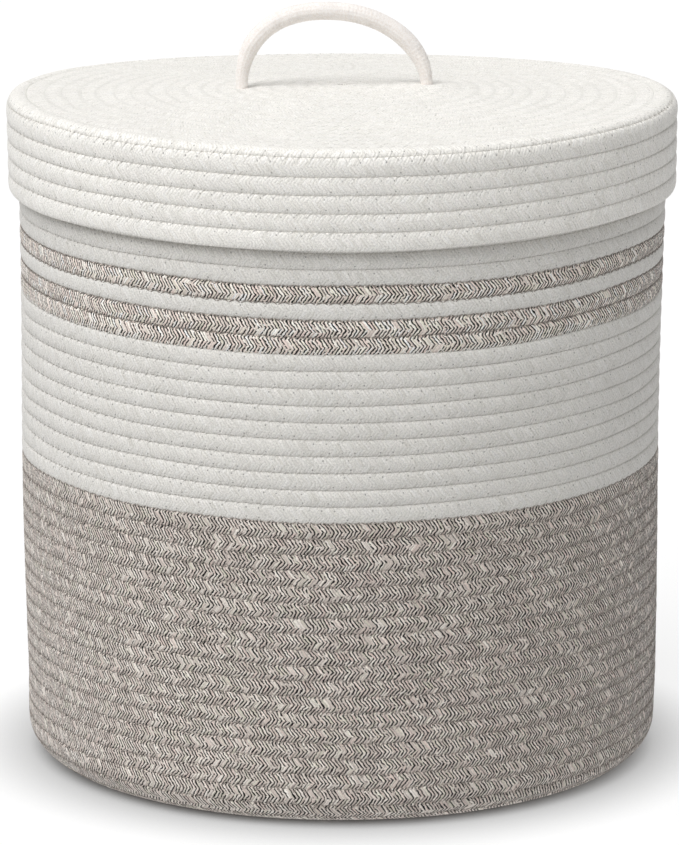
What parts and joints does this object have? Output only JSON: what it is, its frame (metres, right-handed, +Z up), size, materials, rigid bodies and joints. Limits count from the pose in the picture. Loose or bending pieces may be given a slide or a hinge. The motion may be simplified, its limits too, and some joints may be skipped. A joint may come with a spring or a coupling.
{
  "type": "laundry hamper with lid",
  "caption": "Round laundry hamper of coiled, stitched rope, grey below and white above with grey stripes, and a lift-off skirted lid with a rope loop handle.",
  "frame": {"origin": "centre of the base's underside, which stands on the floor", "axes": "+Z up along the hamper's axis, +X along the line through the handle's two feet, -Y towards the front"},
  "size_m": [0.426, 0.426, 0.4826],
  "materials": {
    "grey_rope": "herringbone braid of taupe, cream and charcoal cotton yarn, matt",
    "white_rope": "fine braid of undyed white cotton yarn, matt",
    "thread": "white polyester sewing thread, faint sheen",
    "grey_thread": "taupe polyester sewing thread, faint sheen, on the seams beside grey rope",
    "handle_rope": "warm cream braided cotton rope, matt"
  },
  "bodies": {
    "basket": {"base_coil": "grey_rope", "lower_wall_coil": "grey_rope", "middle_wall_coil": "white_rope", "double_stripe_coil": "grey_rope", "stripe_gap_coil": "white_rope", "single_stripe_coil": "grey_rope", "upper_wall_coil": "white_rope", "base_stitching": "grey_thread", "lower_wall_stitching": "grey_thread", "middle_wall_stitching": "thread", "stripe_stitching": "grey_thread", "upper_wall_stitching": "thread"},
    "lid": {"lid_top_coil": "white_rope", "lid_skirt_coil": "white_rope", "lid_top_stitching": "thread", "lid_skirt_stitching": "thread", "handle_tail_left": "handle_rope", "handle_tail_right": "handle_rope", "handle_knot_left": "handle_rope", "handle_knot_right": "handle_rope"},
    "handle": {"handle_loop": "handle_rope"}
  },
  "joints": [
    {"name": "lid_lift", "type": "slide", "parent": "basket", "child": "lid", "axis": [0, 0, 1], "range_m": [0, 0.15]},
    {"name": "handle_fold", "type": "hinge", "parent": "lid", "child": "handle", "pos_m": [-0.0044, 0, 0.43382], "axis": [1, 0, 0], "range_deg": [-75, 75], "stiffness_Nm_per_rad": 0.05}
  ]
}
